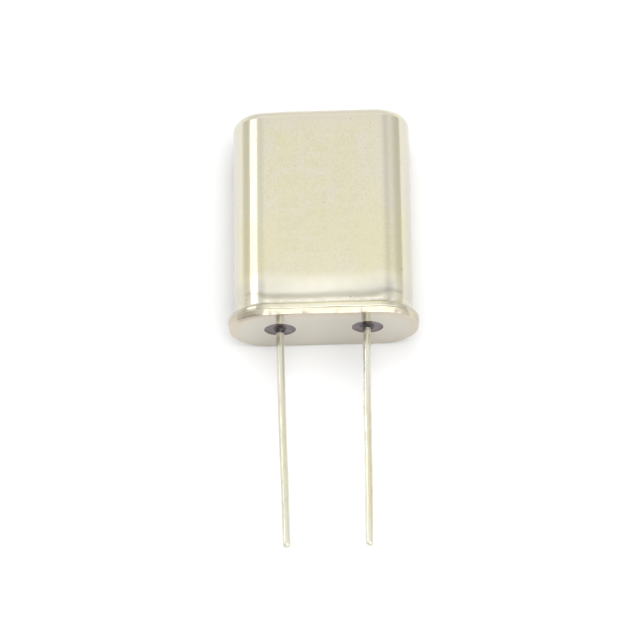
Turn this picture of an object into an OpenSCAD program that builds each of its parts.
// Two-lead quartz crystal in a drawn metal can, lying on its broad face.
// X runs along the wide side, Y from the seating face (y = 0) up into the can,
// the leads run towards -Y, and Z is the thin direction, +Z being the upper broad face.
// Millimetres throughout.

/* [Can] */
// Width of the can over its two round ends
can_w = 10.07; // [9.8:0.01:10.2]
// Thickness of the can across its broad faces
can_t = 3.82; // [3.7:0.01:3.9]
// Height of the can's closed end above the seating face
can_h = 13.0; // [12.6:0.05:13.4]
// Thickness of the drawn wall
wall = 0.25; // [0.23:0.01:0.3]
// Radius around the outside of the closed end
crown_r = 0.62; // [0.4:0.01:0.8]
// Radius where the wall starts to flare
flare_r = 0.2; // [0.15:0.05:0.3]
// Slope of the flare away from the wall, in degrees
flare_a = 46; // [42:0.5:50]
// How far the lip stands out from the wall
lip_out = 0.31; // [0.27:0.01:0.34]
// Radius of the lip's rounded edge
lip_r = 0.22; // [0.19:0.01:0.25]

/* [Base] */
// Thickness of the base's rim
rim_h = 0.31; // [0.27:0.01:0.35]
// Slope of the rim's side just above the seating face, in degrees
rim_a = 14; // [10:1:20]
// Bevel around the seating face
rim_bevel = 0.03; // [0.02:0.01:0.05]
// Top of the raised middle of the base, above the seating face
plateau_h = 1.25; // [1.1:0.05:1.4]
// Gap between the raised middle and the can's wall
plateau_gap = 0.15; // [0.1:0.01:0.2]
// Diameter of the two glass seals
glass_d = 1.77; // [1.6:0.01:1.9]

/* [Leads] */
// Distance between the leads at the seating face
pitch = 4.88; // [4.8:0.01:4.96]
// Diameter of the leads
lead_d = 0.43; // [0.4:0.01:0.46]
// Length of the leads below the seating face
lead_out = 12.95; // [12:0.05:13.5]
// Inward lean of the left lead, in degrees
lean_left = 1.25; // [0:0.05:2]
// Inward lean of the right lead, in degrees
lean_right = 0.55; // [0:0.05:2]
// Radius of the bend where a leaning lead leaves its seal
bend_r = 6; // [3:1:10]

/* [Resonator] */
// Diameter of the quartz blank
blank_d = 8.0; // [7.9:0.05:8.1]
// Thickness of the quartz blank
blank_t = 0.28; // [0.2:0.01:0.3]
// Height of the blank's centre above the seating face
blank_y = 7.2; // [7:0.05:7.3]
// Diameter of the round part of an electrode
electrode_d = 4.8; // [4:0.1:5.2]
// Thickness of an electrode film
film = 0.03; // [0.02:0.01:0.04]
// Width of a support spring
spring_w = 1.4; // [1.3:0.05:1.5]
// Thickness of a support spring
spring_t = 0.12; // [0.1:0.01:0.14]
// Width of the slot that grips the blank
slot_w = 0.5; // [0.44:0.02:0.56]

/* [Hidden] */
$fn = 96;

can_r = can_t / 2;                 // radius of the can's round ends
straight = can_w - can_t;          // length of the straight sides, the same for every obround
groove = 0.04;                     // bevel on each side of the seam between lip and rim
edge_r = can_r + lip_out;          // half thickness over the lip
lip_low = 25;                      // slope of the lip's edge where it turns into the seam, in degrees
lip_y = rim_h + groove + lip_r * sin(lip_low);    // height of the lip's widest line
lip_top = lip_y + lip_r * sin(flare_a);           // where the flare meets the lip's edge
lip_in = edge_r - lip_r * (1 - cos(flare_a));
hole_x = pitch / 2;
glass_r = glass_d / 2;
lead_r = lead_d / 2;
flare_dz = flare_r * (1 - cos(flare_a));
flare_dy = flare_r * sin(flare_a);
cone_dy = (lip_in - can_r - flare_dz) / tan(flare_a);
flare_y = lip_top + cone_dy + flare_dy;   // where the flare leaves the wall
inner_r = flare_r + wall;
inner_x = can_r + flare_r - inner_r * cos(flare_a);
inner_y = flare_y - inner_r * sin(flare_a);
plateau_r = can_r - wall - plateau_gap;
weld_x = 2.56 + (pitch - 4.88) / 2;  // the flat on each lead that carries its spring
spring_x = 3.84;                   // inner face of a spring beside the blank

// An obround solid from its half section: x is the distance from the middle line, y is the height.
module obround() {
    translate([-straight / 2, 0, 0]) rotate([0, 90, 0]) linear_extrude(straight) {
        children();
        mirror([1, 0]) children();
    }
    for (side = [0, 180])
        rotate([0, side, 0]) translate([straight / 2, 0, 0])
            rotate([-90, 0, 0]) rotate([0, 0, -90]) rotate_extrude(angle = 180) children();
}

// A square corner to be cut back to a quarter round of radius r, its corner at the origin
// and its solid lying towards -x and -y.
module round_off(r) {
    difference() {
        translate([-r, -r]) square([r + 1, r + 1]);
        translate([-r, -r]) circle(r);
    }
}

// Points on an arc about (x, y), from angle a to angle b in n steps.
function arc(x, y, r, a, b, n) = [for (i = [0 : n]) let (t = a + (b - a) * i / n) [x + r * cos(t), y + r * sin(t)]];

// Half section of the can's outside, flare and lip included.
module can_outside() {
    difference() {
        translate([0, rim_h]) square([can_r, can_h - rim_h]);
        translate([can_r, can_h]) round_off(crown_r);
    }
    difference() {
        polygon([[can_r - wall / 2, flare_y], [can_r, flare_y],
                 [can_r + flare_dz, flare_y - flare_dy],
                 each arc(edge_r - lip_r, lip_y, lip_r, flare_a, -lip_low, 6),
                 [edge_r - lip_r * (1 - cos(lip_low)) - groove, rim_h],
                 [can_r - wall / 2, rim_h]]);
        translate([can_r + flare_r, flare_y]) circle(flare_r);
    }
}

// Half section of the space inside the can.
module can_inside() {
    difference() {
        translate([0, -1]) square([can_r - wall, can_h - wall + 1]);
        translate([can_r - wall, can_h - wall]) round_off(crown_r - wall);
    }
    difference() {
        polygon([[0, flare_y], [can_r - wall, flare_y],
                 [inner_x, inner_y],
                 [inner_x + (inner_y + 1) * tan(flare_a), -1],
                 [0, -1]]);
        translate([can_r + flare_r, flare_y]) circle(inner_r);
    }
}

module can() {
    color([0.80, 0.77, 0.68])
    difference() {
        obround() can_outside();
        obround() can_inside();
    }
}

// The stamped base: a rim under the can's lip, and a raised middle that the seals pass through.
// The rim's side is slightly rounded and narrows towards the seating face.
module base_section() {
    r = (rim_h - groove - rim_bevel) / (sin(rim_a) - sin(3));
    x = edge_r - r * cos(3);
    y = rim_h - groove + r * sin(3);
    side = arc(x, y, r, -3, -rim_a, 5);
    foot = side[len(side) - 1];
    polygon([[0, 0], [foot[0] - rim_bevel, 0], [foot[0] - rim_bevel * 0.3, rim_bevel * 0.3],
             each reverse(side), [edge_r - groove, rim_h], [0, rim_h]]);
    difference() {
        square([plateau_r, plateau_h]);
        translate([plateau_r, plateau_h]) round_off(0.1);
    }
}

module base_plate() {
    color([0.74, 0.72, 0.66])
    difference() {
        obround() base_section();
        for (s = [-1, 1])
            translate([s * hole_x, -1, 0]) rotate([-90, 0, 0]) cylinder(h = plateau_h + 2, r = glass_r);
    }
}

// A bead of sealing glass: it fills its hole, dips a little between the rim and the lead, and climbs the lead.
module glass_seal(x) {
    color([0.30, 0.26, 0.27])
    translate([x, 0, 0]) rotate([-90, 0, 0]) rotate_extrude()
        polygon([[lead_r, -0.05], [lead_r + 0.07, 0.02], [lead_r + 0.2, 0.055],
                 [glass_r - 0.15, 0.05], [glass_r, 0.015],
                 [glass_r, plateau_h - 0.02], [glass_r - 0.2, plateau_h + 0.04],
                 [lead_r + 0.15, plateau_h + 0.08], [lead_r, plateau_h + 0.16]]);
}

// One lead: the flattened top inside the can, the stem through its seal, a slight bend
// where it leaves the seal, and the straight run to a rounded tip. It leans towards +X.
module lead(lean) {
    top = 2.85;
    bend_y = 0.25;
    run = lead_out - bend_y - bend_r * sin(lean);
    color([0.82, 0.80, 0.74]) {
        difference() {
            translate([-hole_x, top, 0]) rotate([90, 0, 0]) cylinder(h = top + bend_y, r = lead_r);
            translate([-weld_x - 1, 1.5, -1]) cube([1, 2, 2]);
        }
        translate([-hole_x + bend_r, -bend_y, 0]) {
            if (lean > 0)
                rotate([0, 0, 180]) rotate_extrude(angle = lean) translate([bend_r, 0]) circle(lead_r);
            rotate([0, 0, lean]) translate([-bend_r, 0, 0]) rotate([90, 0, 0]) {
                cylinder(h = run - 0.13, r = lead_r);
                translate([0, 0, run - 0.13]) rotate_extrude() difference() {
                    square([lead_r, 0.13]);
                    translate([lead_r, 0.13]) round_off(0.13);
                }
            }
        }
    }
}

module lead_left() { lead(lean_left); }
module lead_right() { mirror([1, 0, 0]) lead(lean_right); }

// A support spring: a bent strip, welded to the flat on its lead and slotted to grip the blank's edge.
module support_spring() {
    line = [[weld_x + spring_t / 2, 1.55], [weld_x + spring_t / 2, 2.95],
            [spring_x + spring_t / 2, 4.45], [spring_x + spring_t / 2, 8.75],
            [spring_x + spring_t / 2 + 0.16, 9.15]];
    color([0.72, 0.70, 0.62])
    difference() {
        translate([0, 0, -spring_w / 2]) linear_extrude(spring_w) polygon(strip(line, spring_t));
        translate([spring_x - 1, blank_y - 1.35, -slot_w / 2]) cube([2, 2.7, slot_w]);
        // the strip narrows where it is welded to the lead
        for (s = [-1, 1])
            translate([1.5, 1.4, s * (spring_w / 2 + 0.05) - 0.25]) cube([1.7, 1.35, 0.5]);
    }
}

// The outline of a strip of width w along a list of points.
function unit(v) = v / norm(v);
function side_of(v) = [-v[1], v[0]];
function miter(a, b) = let (n = unit(side_of(a) + side_of(b))) n / (n * side_of(a));
function edge(p, d) = [for (i = [0 : len(p) - 1])
    let (a = unit(i > 0 ? p[i] - p[i - 1] : p[1] - p[0]),
         b = unit(i < len(p) - 1 ? p[i + 1] - p[i] : p[i] - p[i - 1]))
    p[i] + d * miter(a, b)];
function strip(p, w) = concat(edge(p, w / 2), reverse(edge(p, -w / 2)));
function reverse(v) = [for (i = [len(v) - 1 : -1 : 0]) v[i]];

module support_spring_left() { mirror([1, 0, 0]) support_spring(); }
module support_spring_right() { support_spring(); }

// The quartz disc, its edges bevelled.
module quartz_blank() {
    r = blank_d / 2;
    h = blank_t / 2;
    color([0.86, 0.90, 0.92])
    translate([0, blank_y, 0]) rotate_extrude()
        polygon([[0, -h], [r - 0.07, -h], [r, -h + 0.07], [r, h - 0.07], [r - 0.07, h], [0, h]]);
}

// A metal film on one face of the blank, with a tab that reaches the spring at +X.
module electrode() {
    color([0.85, 0.85, 0.86]) {
        translate([0, blank_y, blank_t / 2]) cylinder(h = film, r = electrode_d / 2);
        translate([0, blank_y - 0.45, blank_t / 2]) cube([blank_d / 2 - 0.14, 0.9, film]);
    }
}

module electrode_front() { electrode(); }
module electrode_back() { rotate([0, 180, 0]) electrode(); }

// A dot of conductive adhesive around the place where the spring's slot holds the blank's edge.
module adhesive() {
    color([0.55, 0.54, 0.52])
    difference() {
        translate([spring_x + 0.03, blank_y, 0]) rotate_extrude()
            polygon(concat([for (a = [-90 : 15 : 90]) [0.62 * cos(a), 0.5 * sin(a)]]));
        quartz_blank();
        electrode();
        support_spring();
    }
}

module adhesive_right() { adhesive(); }
module adhesive_left() { rotate([0, 180, 0]) adhesive(); }

module glass_seal_left() { glass_seal(-hole_x); }
module glass_seal_right() { glass_seal(hole_x); }

can();
base_plate();
glass_seal_left();
glass_seal_right();
lead_left();
lead_right();
support_spring_left();
support_spring_right();
quartz_blank();
electrode_front();
electrode_back();
adhesive_left();
adhesive_right();
